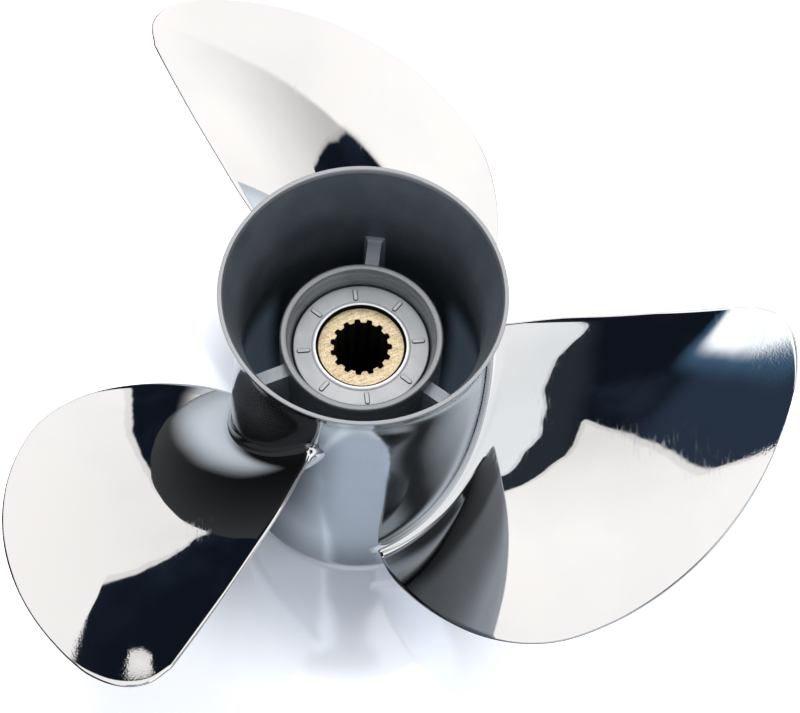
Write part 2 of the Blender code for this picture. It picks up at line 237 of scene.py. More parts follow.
def polished_metal(name, tint, worn_tint, smoothest, roughest):
    """Return a polished steel whose roughness goes from smoothest to roughest in patches."""
    material, tree, shader, place = new_metal(name, smoothest)
    polish = use_group(tree, "hand_polish", place)
    tree.links.new(mix_colors(tree, polish["Patches"], tint, worn_tint), shader.inputs["Base Color"])
    haze = calculate(tree, "MULTIPLY", polish["Patches"], fade(tree, polish["Marks"], 0.35, 0.75))
    tree.links.new(fade(tree, haze, 0.0, 1.0, smoothest, roughest), shader.inputs["Roughness"])
    grain = use_group(tree, "cast_grain", place, Grains_per_metre=1100.0)
    near_tip = fade(tree, from_axis(tree, place), SPARKLE_START, SPARKLE_FULL)
    sparkle = calculate(tree, "MULTIPLY", grain["Grain"], near_tip)
    wavy = add_bump(tree, polish["Waves"], WAVE_DEPTH)
    tree.links.new(add_bump(tree, sparkle, SPARKLE_DEPTH, wavy), shader.inputs["Normal"])
    return material


polished = polished_metal("mirror_steel", (0.61, 0.61, 0.615), (0.585, 0.59, 0.60), 0.018, 0.10)
# The hub's darker, bluer tint is a painted reflection of the bluish sheet.
hub_steel = polished_metal("hub_steel", (0.45, 0.48, 0.51), (0.42, 0.45, 0.485), 0.10, 0.17)

# %% [markdown]
# The other metals
#
# The rim's lip is a satin turned band, the inside of the hub keeps the dark blasted skin
# of the casting, the tube in the middle is turned, the end plate is a light grey pressing,
# and the splined sleeve is brass with the coarse marks of a belt.

# %% Satin lip
satin, tree, shader, place = new_metal("satin_lip", 0.35, metallic=0.85)
rings = use_group(tree, "lathe_rings", place)
tone = mix_colors(tree, rings["Bands"], (0.33, 0.342, 0.36), (0.43, 0.442, 0.46))
tree.links.new(tone, shader.inputs["Base Color"])
tree.links.new(fade(tree, rings["Rings"], 0.3, 0.7, 0.30, 0.42), shader.inputs["Roughness"])
tree.links.new(add_bump(tree, rings["Rings"], 0.000012), shader.inputs["Normal"])

# %% Dark casting skin inside the hub, with the light that bounces between its walls
BOUNCED_LIGHT = (0.026, 0.036, 0.048)
casting, tree, shader, place = new_metal("casting_skin", 0.5, metallic=0.5)
grain = use_group(tree, "cast_grain", place)
skin = mix_colors(tree, grain["Stains"], (0.10, 0.118, 0.138), (0.14, 0.158, 0.178))
split = add_node(tree, "SeparateXYZ", {0: place}).outputs
# Painted light: low on the camera's side the skin is painted a lighter blue-grey, and the lowest walls glow
# with painted bounced light.
toward_camera = fade(tree, split["Y"], 0.032, -0.012)
painted_light_low = calculate(tree, "MULTIPLY", fade(tree, split["Z"], 0.045, -0.02), toward_camera)
tree.links.new(mix_colors(tree, painted_light_low, skin, (0.40, 0.46, 0.53)), shader.inputs["Base Color"])
at_sides = fade(tree, split["Y"], 0.037, 0.029)
lowest = calculate(tree, "MULTIPLY", fade(tree, split["Z"], 0.026, -0.003), at_sides)
tree.links.new(scale_color(tree, BOUNCED_LIGHT, lowest), shader.inputs["Emission Color"])
shader.inputs["Emission Strength"].default_value = 1.0
tree.links.new(fade(tree, grain["Grain"], 0.4, 1.1, 0.36, 0.55), shader.inputs["Roughness"])
tree.links.new(add_bump(tree, grain["Grain"], 0.00004), shader.inputs["Normal"])

# %% Rough cast ribs
rough_rib, tree, shader, place = new_metal("rib_casting", 0.5, metallic=0.25)
grain = use_group(tree, "cast_grain", place, Grains_per_metre=1900.0)
polish = use_group(tree, "hand_polish", place, Marks_per_metre=1500.0)
tone = mix_colors(tree, grain["Stains"], (0.27, 0.295, 0.31), (0.36, 0.385, 0.40))
tree.links.new(tone, shader.inputs["Base Color"])
tree.links.new(fade(tree, polish["Marks"], 0.3, 0.7, 0.38, 0.6), shader.inputs["Roughness"])
tree.links.new(add_bump(tree, grain["Grain"], 0.00006), shader.inputs["Normal"])

# %% Turned steel of the inner tube
turned_steel, tree, shader, place = new_metal("turned_steel", 0.3, metallic=0.75)
rings = use_group(tree, "lathe_rings", place)
grain = use_group(tree, "cast_grain", place, Grains_per_metre=700.0)
tone = mix_colors(tree, rings["Bands"], (0.215, 0.225, 0.235), (0.30, 0.31, 0.32))
tree.links.new(tone, shader.inputs["Base Color"])
tree.links.new(fade(tree, rings["Rings"], 0.3, 0.7, 0.24, 0.42), shader.inputs["Roughness"])
ringed = add_bump(tree, rings["Rings"], 0.00002)
tree.links.new(add_bump(tree, grain["Grain"], 0.00001, ringed), shader.inputs["Normal"])

# %% [markdown]
# The plate's stamped dashes
#
# The light grey plate has eight dashes stamped up from its face, with painted shade in the
# crease round each. The dashes are modelled. For the painted shade, a group folds the
# plane into one eighth, where the distance to a single dash is the distance to a short
# line, and puts out a thin ring at the foot of the dash. The hole's edge is painted dark
# with shade too, and the small lip round the hole gets a painted highlight.

# %% Group for painted shade round the dashes
DASH_COUNT = 8
DASH_FIRST = math.radians(98)
DASH_INNER, DASH_OUTER, DASH_HALF = 0.0217, 0.0252, 0.00095
SHADE_RING_WIDTH = 0.00022
PLATE_HOLE, LIP_FOOT = 0.01835, 0.0202
tree, given, result = new_group(
    "dash_painted_shade", [("Place", "Vector", None)], [("Painted shade", "Float"), ("Painted lip highlight", "Float")],
)
split = add_node(tree, "SeparateXYZ", {0: given["Place"]})
reach = from_axis(tree, given["Place"])
angle = calculate(tree, "ARCTAN2", split.outputs["Y"], split.outputs["X"])
step = 2 * math.pi / DASH_COUNT
folded = calculate(tree, "WRAP", calculate(tree, "SUBTRACT", angle, DASH_FIRST), step / 2, -step / 2)
across = calculate(tree, "MULTIPLY", reach, calculate(tree, "SINE", folded))
along = calculate(tree, "MULTIPLY", reach, calculate(tree, "COSINE", folded))
nearest = calculate(tree, "MINIMUM", calculate(tree, "MAXIMUM", along, DASH_INNER), DASH_OUTER)
apart = add_node(tree, "CombineXYZ", {"X": calculate(tree, "SUBTRACT", along, nearest), "Y": across})
gap = add_node(tree, "VectorMath", {0: apart.outputs[0]}, operation="LENGTH").outputs["Value"]
off_foot = calculate(tree, "ABSOLUTE", calculate(tree, "SUBTRACT", gap, DASH_HALF))
round_dash = fade(tree, off_foot, 0.0, SHADE_RING_WIDTH, 1.0, 0.0)
# Painted shade: dark rings at the foot of each dash and at the hole's edge. Painted highlight: the small lip
# round the hole.
round_hole = fade(tree, reach, PLATE_HOLE + 0.00007, PLATE_HOLE + 0.00020, 1.0, 0.0)
tree.links.new(calculate(tree, "MAXIMUM", round_dash, round_hole), result["Painted shade"])
tree.links.new(fade(tree, reach, LIP_FOOT - 0.0002, LIP_FOOT + 0.0001, 1.0, 0.0), result["Painted lip highlight"])

# %% Light grey plate
plate_grey, tree, shader, place = new_metal("plate_grey", 0.42, metallic=0.7)
grain = use_group(tree, "cast_grain", place, Grains_per_metre=2600.0)
creases = use_group(tree, "dash_painted_shade", place)
face = mix_colors(tree, grain["Stains"], (0.39, 0.405, 0.425), (0.49, 0.505, 0.52))
# Painted highlight on the lip, and painted shade round the dashes and at the hole's edge.
bright = mix_colors(tree, creases["Painted lip highlight"], face, (0.80, 0.81, 0.82))
tone = mix_colors(tree, creases["Painted shade"], bright, (0.035, 0.037, 0.045))
tree.links.new(tone, shader.inputs["Base Color"])
tree.links.new(fade(tree, grain["Grain"], 0.4, 1.1, 0.34, 0.5), shader.inputs["Roughness"])
tree.links.new(add_bump(tree, grain["Grain"], 0.000015), shader.inputs["Normal"])

# %% Brass and the nearly black bore in it
SLEEVE_RADIUS = 0.0177
BELT_ANGLE = 1.15
brass, tree, shader, place = new_metal("belted_brass", 0.4)
turned = add_node(tree, "Mapping", {"Vector": place, "Rotation": (0.0, 0.0, BELT_ANGLE)}).outputs[0]
polish = use_group(tree, "hand_polish", turned, Marks_per_metre=2000.0)
grain = use_group(tree, "cast_grain", place, Grains_per_metre=1700.0)
belted = calculate(tree, "MULTIPLY", polish["Marks"], 0.6)
uneven = calculate(tree, "MULTIPLY_ADD", grain["Grain"], 0.55, belted)
brass_tone = mix_colors(tree, fade(tree, uneven, 0.42, 0.92), (0.34, 0.24, 0.12), (0.85, 0.735, 0.52))
# Painted shade: the outer edge of the brass is painted nearly black for the shaded gap round the sleeve.
outer = fade(tree, from_axis(tree, place), SLEEVE_RADIUS - 0.00045, SLEEVE_RADIUS - 0.00020)
tree.links.new(mix_colors(tree, outer, brass_tone, (0.03, 0.026, 0.02)), shader.inputs["Base Color"])
tree.links.new(fade(tree, grain["Grain"], 0.4, 1.1, 0.3, 0.5), shader.inputs["Roughness"])
tree.links.new(add_bump(tree, grain["Grain"], 0.00004), shader.inputs["Normal"])
bore, tree, shader, place = new_metal("near_black_bore", 0.5, metallic=0.3)
polish = use_group(tree, "hand_polish", place)
tone = mix_colors(tree, polish["Patches"], (0.010, 0.009, 0.008), (0.030, 0.020, 0.014))
tree.links.new(tone, shader.inputs["Base Color"])
tree.links.new(fade(tree, polish["Marks"], 0.3, 0.7, 0.4, 0.6), shader.inputs["Roughness"])

# %% Rubber of the bushing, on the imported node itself
rubber, tree, shader, place = new_metal("moulded_rubber", 0.75, metallic=0.0)
grain = use_group(tree, "cast_grain", place, Grains_per_metre=900.0)
tone = mix_colors(tree, grain["Stains"], (0.016, 0.016, 0.017), (0.032, 0.031, 0.03))
tree.links.new(tone, shader.inputs["Base Color"])
tree.links.new(add_bump(tree, grain["Grain"], 0.00004), shader.inputs["Normal"])
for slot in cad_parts["rubber_bushing"].material_slots:
    slot.material = rubber
print("Materials:", sorted(material.name for material in bpy.data.materials if material.use_nodes))

# %% [markdown]
# From a bmesh to a piece
#
# A bmesh is Blender's mesh in the making: operators such as spin, extrude and bevel work
# on it directly. When it is done, doubled points are merged, the faces are turned outwards,
# and smooth shading hides the facets wherever two faces meet at a small angle. Heights are
# counted from the hub's front end, so the last step lowers the mesh into the part's frame.

# %% Finish a piece
def turn_about_shaft(bm, angle):
    """Turn a mesh about the shaft's axis."""
    bmesh.ops.rotate(bm, verts=bm.verts, cent=(0, 0, 0), matrix=Matrix.Rotation(angle, 3, "Z"))


def finish_piece(name, bm, node, materials, sharp_angle=38):
    """Make the bmesh a piece that rides on the part and stands for one of its nodes."""
    bmesh.ops.remove_doubles(bm, verts=bm.verts, dist=2e-6)
    bmesh.ops.recalc_face_normals(bm, faces=bm.faces)
    bmesh.ops.translate(bm, verts=bm.verts, vec=(0.0, 0.0, FRONT_END))
    mesh = bpy.data.meshes.new(name)
    bm.to_mesh(mesh)
    bm.free()
    for material in materials:
        mesh.materials.append(material)
    mesh.shade_smooth()
    mesh.set_sharp_from_angle(angle=math.radians(sharp_angle))
    piece = bpy.data.objects.new(name, mesh)
    bpy.context.scene.collection.objects.link(piece)
    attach(piece, "root")
    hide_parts(node)
    print(f"{name}: {len(mesh.polygons)} faces")
    return piece


# %% Spin a section
def turned_bmesh(section, steps=192):
    """Round the corners of a closed section of (radius, height, rounding) and spin it."""
    bm = bmesh.new()
    corners = [bm.verts.new((radius, 0.0, height)) for radius, height, _ in section]
    for i in range(len(corners)):
        bm.edges.new((corners[i - 1], corners[i]))
    for rounding in sorted({corner[2] for corner in section} - {0.0}):
        chosen = [vert for vert, corner in zip(corners, section) if corner[2] == rounding]
        bmesh.ops.bevel(
            bm, geom=chosen, offset=rounding, segments=4, profile=0.5, affect="VERTICES", material=-1,
        )
    bmesh.ops.spin(
        bm, geom=bm.verts[:] + bm.edges[:], cent=(0, 0, 0), axis=(0, 0, 1),
        angle=2 * math.pi, steps=steps, use_merge=True,
    )
    return bm


# %% [markdown]
# The hub barrel
#
# The barrel is a thin-walled casting, waisted behind the blades and flared at its aft rim,
# where the exhaust leaves. It is round, so one section spun about the shaft axis makes it.
# The section follows a smooth curve through a few measured radii. Outside it is polished,
# the lip is a satin band, and the inside keeps its dark skin, so three materials share it.

# %% Smooth curve through measured points
def smooth_curve(points, count):
    """Return count points on a Catmull-Rom curve through the given points."""
    knots = np.array(points, dtype=float)
    knots = np.vstack((2 * knots[0] - knots[1], knots, 2 * knots[-1] - knots[-2]))
    curve = []
    for place in np.linspace(0, len(points) - 1, count):
        first = min(int(place), len(points) - 2)
        t = place - first
        a, b, c, d = knots[first:first + 4]
        bend = (2 * a - 5 * b + 4 * c - d) * t ** 2 + (3 * b - a - 3 * c + d) * t ** 3
        curve.append(0.5 * (2 * b + (c - a) * t + bend))
    return np.array(curve)


# %% Hub barrel
HUB_LENGTH = 0.160
RIM_RADIUS = 0.0565
BARREL_CURVE = smooth_curve((
    (0.000, 0.0537), (0.048, 0.0546), (0.090, 0.0526), (0.119, 0.0510),
    (0.135, 0.0514), (0.150, 0.0537), (HUB_LENGTH, RIM_RADIUS),
), 121)


def barrel_radius(height):
    """Return the outer radius of the barrel."""
    return float(np.interp(height, BARREL_CURVE[:, 0], BARREL_CURVE[:, 1]))


def barrel_wall(height):
    """Return the wall thickness, which tapers from 3 mm to the lip."""
    return float(np.interp(height, (0.136, HUB_LENGTH), (0.0030, 0.0017)))


outside = [(barrel_radius(h), h, 0.0) for h in np.linspace(0.1585, 0.0030, 80)]
inside = [(barrel_radius(h) - barrel_wall(h), h, 0.0) for h in np.linspace(0.0015, 0.1580, 60)]
lip_bore = RIM_RADIUS - barrel_wall(HUB_LENGTH)
section = [(lip_bore, HUB_LENGTH, 0.00035), (RIM_RADIUS, HUB_LENGTH, 0.00040)]
section += outside + [(0.0528, 0.0, 0.0003), (0.0507, 0.0, 0.0003)] + inside
bm = turned_bmesh(section, 256)
for face in bm.faces:
    middle = face.calc_center_median()
    radius = math.hypot(middle.x, middle.y)
    if middle.z > 0.1578:
        face.material_index = 1
    elif radius < barrel_radius(middle.z) - barrel_wall(middle.z) / 2 and middle.z > 0.0008:
        face.material_index = 2
finish_piece("barrel_shell", bm, "hub_barrel", (hub_steel, satin, casting))

# %% [markdown]
# The blades
#
# A propeller blade is a piece of a screw surface: going round the shaft by an angle lifts
# it by a share of the pitch. This one also leans aft towards its tip, which is called rake,
# and its pitch grows along the chord, which is called cup or camber. So the blade starts as
# a flat grid, whose two directions run across the blade and from root to tip, and every
# point of the grid is lifted onto that surface. A second grid, pushed in by the thickness,
# is the forward face. A bridge between the grids, cut across and laid on a half round, makes
# the rounded edge all round.

# %% The screw surface
PITCH = 0.4008
REFERENCE_RADIUS = 0.0525


def aft_height(radius, angle):
    """Return the height of the aft face."""
    reach = radius - REFERENCE_RADIUS
    lead = PITCH / (2 * math.pi) - 0.072 * reach
    camber = 0.01164 - 0.037 * reach
    return 0.0667 + lead * angle + camber * angle ** 2 + 0.194 * reach + 0.60 * reach ** 2


def aft_normal(radius, angle):
    """Return the unit normal of the aft face as (outward, round, up)."""
    reach = radius - REFERENCE_RADIUS
    slope_out = -0.072 * angle - 0.037 * angle ** 2 + 0.194 + 1.20 * reach
    lead = PITCH / (2 * math.pi) - 0.072 * reach
    slope_round = (lead + 2 * (0.01164 - 0.037 * reach) * angle) / radius
    normal = np.array((-slope_out, -slope_round, 1.0))
    return normal / np.linalg.norm(normal)


# %% The outline, as radius and angle in degrees
ROOT_RADIUS = 0.0600
LEADING_EDGE = (
    (ROOT_RADIUS, -47.2), (0.0712, -44.8), (0.0955, -37.3), (0.1170, -30.0), (0.1339, -22.3),
    (0.1449, -14.3), (0.1531, -7.0), (0.1604, 0.8), (0.1661, 8.4), (0.1703, 15.6), (0.1736, 22.9),
)
TIP_EDGE = ((0.1736, 22.9), (0.1746, 26.8), (0.1727, 31.0), (0.1670, 34.1), (0.1580, 35.7))
TRAILING_EDGE = ((ROOT_RADIUS, 39.5), (0.0800, 38.9), (0.1028, 37.6), (0.1300, 36.6), (0.1580, 35.7))


def edge_samples(edge, count):
    """Return evenly spaced (radius, degrees) points along an edge of the outline."""
    curve = smooth_curve(edge, 121)
    angles = np.radians(curve[:, 1])
    steps = np.hypot(np.diff(curve[:, 0] * np.cos(angles)), np.diff(curve[:, 0] * np.sin(angles)))
    run = np.concatenate(([0.0], np.cumsum(steps)))
    places = np.linspace(0, run[-1], count)
    return np.stack((np.interp(places, run, curve[:, 0]), np.interp(places, run, curve[:, 1])), axis=1)


# %% A place on the blade
ACROSS, ALONG = 84, 72
LEADING = edge_samples(LEADING_EDGE, ALONG + 1)
TRAILING = edge_samples(TRAILING_EDGE, ALONG + 1)
TIP = edge_samples(TIP_EDGE, ACROSS + 1)
EDGE_THICKNESS = 0.0014


def blade_place(column, row, forward):
    """Return the (radius, angle, height) of a grid point on the aft or the forward face."""
    across, along = column / ACROSS, row / ALONG
    bulge = TIP[column] - (TIP[0] + across * (TIP[-1] - TIP[0]))
    radius, degrees = along * bulge + (1 - across) * LEADING[row] + across * TRAILING[row]
    angle = math.radians(degrees)
    point = np.array((radius, angle, aft_height(radius, angle)))
    if forward:
        full = 0.0088 + (0.0042 - 0.0088) * along
        bow = (4 * across * (1 - across)) ** 0.8 * (1 - along ** 6)
        depth = aft_normal(radius, angle) * (EDGE_THICKNESS + (full - EDGE_THICKNESS) * bow)
        point -= np.array((depth[0], depth[1] / radius, depth[2]))
    return point


def from_cylinder(point):
    """Turn (radius, angle, height) into a point in space."""
    return Vector((point[0] * math.cos(point[1]), point[0] * math.sin(point[1]), point[2]))


# %% Two grids and a bridge
ROUNDING_CUTS = 5
SPREAD = 0.05


def rim_place(column, row, share):
    """Return a point of the rounded edge, from 0 at the aft face to 1 at the forward face."""
    aft = from_cylinder(blade_place(column, row, False))
    forward = from_cylinder(blade_place(column, row, True))
    inner = from_cylinder(blade_place(min(max(column, 1), ACROSS - 1), min(row, ALONG - 1), False))
    through = (aft - forward) / 2
    outward = (aft - inner) - (aft - inner).project(through)
    turn = math.pi * share
    out = outward.normalized() * through.length
    return (aft + forward) / 2 + through * math.cos(turn) + out * math.sin(turn)


def blade_skin():
    """Return the blade above its root: both faces and a rounded edge, still open at the root."""
    bm = bmesh.new()
    bmesh.ops.create_grid(bm, x_segments=ACROSS, y_segments=ALONG, size=0.5)
    copy = bmesh.ops.duplicate(bm, geom=bm.verts[:] + bm.edges[:] + bm.faces[:])["geom"]
    forward = [v for v in copy if isinstance(v, bmesh.types.BMVert)]
    bmesh.ops.translate(bm, verts=forward, vec=(0, 0, -SPREAD))
    bmesh.ops.bridge_loops(bm, edges=[edge for edge in bm.edges if edge.is_boundary])
    root_strip = [f for f in bm.faces if all(v.co.y < -0.49 for v in f.verts)]
    bmesh.ops.delete(bm, geom=root_strip, context="FACES")
    through = [edge for edge in bm.edges if abs(edge.verts[0].co.z - edge.verts[1].co.z) > SPREAD / 2]
    bmesh.ops.subdivide_edges(bm, edges=through, cuts=ROUNDING_CUTS, use_grid_fill=True)
    for vert in bm.verts:
        column, row = round((vert.co.x + 0.5) * ACROSS), round((vert.co.y + 0.5) * ALONG)
        share = -vert.co.z / SPREAD
        if share < 0.01 or share > 0.99:
            vert.co = from_cylinder(blade_place(column, row, share > 0.5))
        else:
            vert.co = rim_place(column, row, share)
    return bm


# %% [markdown]
# The root fillet
#
# Where the blade meets the barrel, the casting has a hollow fillet about 6 mm wide. The
# open root of the skin is a ring of points. Each step extrudes that ring a little further
# down a curve which leaves the blade along its face and lands flat on the barrel. The last
# step folds the ring shut inside the barrel's wall, where nobody sees it.

# %% Ring tools
def open_ring(bm):
    """Return the vertices round the open boundary, in order."""
    edges = [edge for edge in bm.edges if edge.is_boundary]
    ring = list(edges[0].verts)
    for _ in range(len(edges) - 2):
        onward = [e for e in ring[-1].link_edges if e.is_boundary and ring[-2] not in e.verts]
        ring.append(onward[0].other_vert(ring[-1]))
    return ring


def extrude_ring(bm, ring, points):
    """Extrude a closed ring and put each new vertex on its point."""
    edges = [bm.edges.get((ring[i - 1], ring[i])) for i in range(len(ring))]
    grown = bmesh.ops.extrude_edge_only(bm, edges=edges)["geom"]
    copies = {tuple(v.co): v for v in grown if isinstance(v, bmesh.types.BMVert)}
    ring = [copies[tuple(v.co)] for v in ring]
    for vert, point in zip(ring, points):
        vert.co = point
    return ring


# %% Root fillet
ROOT_FILLET = 0.0058
FILLET_STEPS = 10


def to_cylinder(co):
    """Turn a point in space into (radius, angle, height)."""
    return np.array((math.hypot(co.x, co.y), math.atan2(co.y, co.x), co.z))


def add_root_fillet(bm):
    """Flare the open root out to the barrel and fold it shut inside the barrel's wall."""
    ring = open_ring(bm)
    section = [to_cylinder(v.co) for v in ring]
    nose = min(range(len(ring)), key=lambda i: section[i][1])
    ring, section = ring[nose:] + ring[:nose], section[nose:] + section[:nose]
    sharp = []
    for radius, angle, height in section:
        low = height - 0.194 * (radius - barrel_radius(height))
        sharp.append(np.array((barrel_radius(low), angle, low)))
    flat = np.array([(REFERENCE_RADIUS * point[1], point[2]) for point in sharp])
    tangent = np.roll(flat, -1, axis=0) - np.roll(flat, 1, axis=0)
    tangent /= np.linalg.norm(tangent, axis=1)[:, None]
    away = np.stack((-tangent[:, 1], tangent[:, 0]), axis=1)
    if np.dot(away[0], flat[0] - flat.mean(axis=0)) < 0:
        away = -away
    spread = flat + ROOT_FILLET * away
    seat = [np.array((barrel_radius(h) - 0.0001, s / REFERENCE_RADIUS, h)) for s, h in spread]
    for step in range(1, FILLET_STEPS + 1):
        t = step / FILLET_STEPS
        near, middle, far = (1 - t) ** 2, 2 * t * (1 - t), t ** 2
        curve = [near * a + middle * b + far * c for a, b, c in zip(section, sharp, seat)]
        ring = extrude_ring(bm, ring, [from_cylinder(point) for point in curve])
    shut = [(seat[i] + seat[-i]) / 2 for i in range(len(seat))]
    extrude_ring(bm, ring, [from_cylinder((barrel_radius(p[2]) - 0.0015, p[1], p[2])) for p in shut])


# %% Three blades
for number, degrees in enumerate((90.0, 210.0, 330.0), 1):
    bm = blade_skin()
    add_root_fillet(bm)
    turn_about_shaft(bm, math.radians(degrees))
    finish_piece(f"polished_blade_{number}", bm, f"blade_{number}", (polished,), 60)

# %% [markdown]
# The ribs
#
# Three ribs carry the inner tube in the barrel. They have flat sides, and spread where
# they run into a wall. Their section is a ring of points, so the same extruding of a ring,
# up the height of the rib, makes them. The barrel narrows and widens, so each ring ends at
# the bore of its own height. The aft face is cut across near the barrel, and its outer part
# is lifted into a small fillet that runs up the wall and catches the light.

# %% Ribs
TUBE_RADIUS = 0.0331
RIB_HALF = 0.0028
RIB_HEIGHTS = np.linspace(0.026, 0.1162, 14)
AFT_LEVEL = RIB_HEIGHTS[-1] - 1e-6
INNER_FLARE, OUTER_FLARE = 0.0004, 0.0030
LIFT_WIDTH, LIFT_HEIGHT, LIFT_CUTS = 0.0016, 0.0018, 6


def rib_flare(radius, fillet, way, count=7):
    """Return the curve that leaves a rib's side and runs out along a round wall."""
    reach = (RIB_HALF + fillet) / radius
    start = np.array((radius + way * fillet, RIB_HALF))
    corner = np.array((radius, RIB_HALF))
    end = radius * np.array((math.cos(reach), math.sin(reach)))
    return [(1 - t) ** 2 * start + 2 * t * (1 - t) * corner + t ** 2 * end for t in np.linspace(0, 1, count)]


def rib_points(height):
    """Return the ring of points round a rib at a height."""
    bore = barrel_radius(height) - barrel_wall(height) + 0.0002
    side = rib_flare(TUBE_RADIUS - 0.0002, INNER_FLARE, 1)[::-1] + rib_flare(bore, OUTER_FLARE, -1)
    mirrored = [point * (1, -1) for point in side[::-1]]
    return [Vector((x, y, height)) for x, y in side + mirrored]


for number, degrees in enumerate((85.3, 205.3, 325.3), 1):
    bm = bmesh.new()
    ring = bmesh.ops.create_circle(bm, segments=len(rib_points(0.05)), radius=0.01)["verts"]
    for vert, point in zip(ring, rib_points(RIB_HEIGHTS[0])):
        vert.co = point
    for height in RIB_HEIGHTS[1:]:
        ring = extrude_ring(bm, ring, rib_points(height))
    bmesh.ops.holes_fill(bm, edges=[edge for edge in bm.edges if edge.is_boundary], sides=0)
    wall_side = max(v.co.x for v in ring)
    for cut in range(LIFT_CUTS):
        place = (wall_side - LIFT_WIDTH * (1 - cut / LIFT_CUTS), 0, 0)
        top = [e for e in bm.edges if all(v.co.z > AFT_LEVEL for v in e.verts)]
        top += [f for f in bm.faces if all(v.co.z > AFT_LEVEL for v in f.verts)]
        top += [v for v in bm.verts if v.co.z > AFT_LEVEL]
        bmesh.ops.bisect_plane(bm, geom=top, plane_co=place, plane_no=(1, 0, 0))
    for vert in bm.verts:
        if vert.co.z > AFT_LEVEL:
            vert.co.z += LIFT_HEIGHT * max(0.0, 1 - (wall_side - vert.co.x) / LIFT_WIDTH) ** 2
    turn_about_shaft(bm, math.radians(degrees))
    finish_piece(f"cast_rib_{number}", bm, f"rib_{number}", (rough_rib,))

# %% [markdown]
# The tube, the end plate and the splined sleeve
#
# The inner tube is a turned cup with a step below its lip. The end plate lies in it, with a
# small raised lip round the sleeve and eight raised dashes. The brass sleeve takes the
# propeller shaft: its bore has fifteen round-bottomed grooves.

# %% Inner tube
bm = turned_bmesh([
    (0.0302, 0.1216, 0.0006), (TUBE_RADIUS, 0.1216, 0.0009), (TUBE_RADIUS, 0.026, 0.0012),
    (0.0285, 0.018, 0.0008), (0.0180, 0.018, 0.0004), (0.0180, 0.032, 0.0),
    (0.0283, 0.032, 0.0), (0.0283, 0.1128, 0.0004),
    (0.02975, 0.1188, 0.0001), (0.0300, 0.1190, 0.0001),
])
finish_piece("inner_tube", bm, "inner_hub", (turned_steel,))

# %% End plate with its dashes
PLATE_FACE = 0.1126
LIP_HEIGHT = 0.0007
DASH_HEIGHT = 0.0006
bm = turned_bmesh([
    (0.0276, PLATE_FACE, 0.0005), (0.0276, 0.1076, 0.0), (PLATE_HOLE, 0.1076, 0.0),
    (PLATE_HOLE, PLATE_FACE + LIP_HEIGHT, 0.0003), (0.0196, PLATE_FACE + LIP_HEIGHT, 0.0005),
    (LIP_FOOT, PLATE_FACE, 0.0002),
])
for dash in range(DASH_COUNT):
    bar = bmesh.new()
    ring = bmesh.ops.create_circle(bar, cap_ends=True, segments=32, radius=DASH_HALF)["verts"]
    bmesh.ops.translate(bar, verts=[v for v in ring if v.co.x > 0.0001], vec=(DASH_OUTER - DASH_INNER, 0, 0))
    bmesh.ops.translate(bar, verts=bar.verts, vec=(DASH_INNER, 0, PLATE_FACE - 0.0003))
    top = bmesh.ops.extrude_face_region(bar, geom=bar.faces[:])["geom"]
    top = [v for v in top if isinstance(v, bmesh.types.BMVert)]
    bmesh.ops.translate(bar, verts=top, vec=(0, 0, 0.0003 + DASH_HEIGHT))
    crown = [e for e in bar.edges if all(v.co.z > PLATE_FACE + 0.0001 for v in e.verts)]
    bmesh.ops.bevel(bar, geom=crown, offset=0.00045, segments=5, profile=0.5, affect="EDGES", material=-1)
    turn_about_shaft(bar, DASH_FIRST + 2 * math.pi / DASH_COUNT * dash)
    loose = bpy.data.meshes.new("dash")
    bar.to_mesh(loose)
    bar.free()
    bm.from_mesh(loose)
    bpy.data.meshes.remove(loose)
finish_piece("plate_with_dashes", bm, "end_plate", (plate_grey,))

# %% Splined sleeve
TEETH = 15
TEETH_TURN = math.radians(3.4)
TOOTH_RADIUS, GROOVE_DEPTH = 0.0110, 0.00154
SAMPLES = 16
SLEEVE_FRONT, SLEEVE_AFT = 0.018, 0.1118
bm = bmesh.new()
outer = bmesh.ops.create_circle(bm, segments=TEETH * SAMPLES, radius=SLEEVE_RADIUS)["verts"]
inner = bmesh.ops.create_circle(bm, segments=TEETH * SAMPLES, radius=TOOTH_RADIUS)["verts"]
for vert in inner:
    angle = math.atan2(vert.co.y, vert.co.x)
    wave = math.cos(TEETH * (angle - TEETH_TURN))
    groove = 1 / (1 + math.exp(-9 * (wave - 0.12)))
    vert.co *= (TOOTH_RADIUS + GROOVE_DEPTH * groove) / vert.co.length
bmesh.ops.bridge_loops(bm, edges=bm.edges[:])
bmesh.ops.translate(bm, verts=bm.verts, vec=(0, 0, SLEEVE_FRONT))
top = bmesh.ops.extrude_face_region(bm, geom=bm.faces[:])["geom"]
bmesh.ops.translate(
    bm, verts=[v for v in top if isinstance(v, bmesh.types.BMVert)], vec=(0, 0, SLEEVE_AFT - SLEEVE_FRONT),
)
crown = [e for e in bm.edges if len(e.link_faces) == 2 and all(v.co.z > 0.1 for v in e.verts)
         and e.calc_face_angle(0) > 1.0]
bmesh.ops.bevel(bm, geom=crown, offset=0.00025, segments=2, profile=0.5, affect="EDGES", material=-1)
for face in bm.faces:
    middle = face.calc_center_median()
    if math.hypot(middle.x, middle.y) < TOOTH_RADIUS + 0.0020 and middle.z < SLEEVE_AFT - 0.0003:
        face.material_index = 1
finish_piece("splined_sleeve", bm, "drive_sleeve", (brass, bore))

# %% [markdown]
# The studio
#
# The propeller stands on a glossy white sheet in a light tent. What makes the picture is
# what the polish reflects: white cloth, and the dark gaps between the cloths, where the
# camera looks in. The world is drawn with that in mind. Every direction is turned into an
# azimuth and an elevation, and curves over the azimuth give the edges of the gaps and the
# brightness of the cloths.

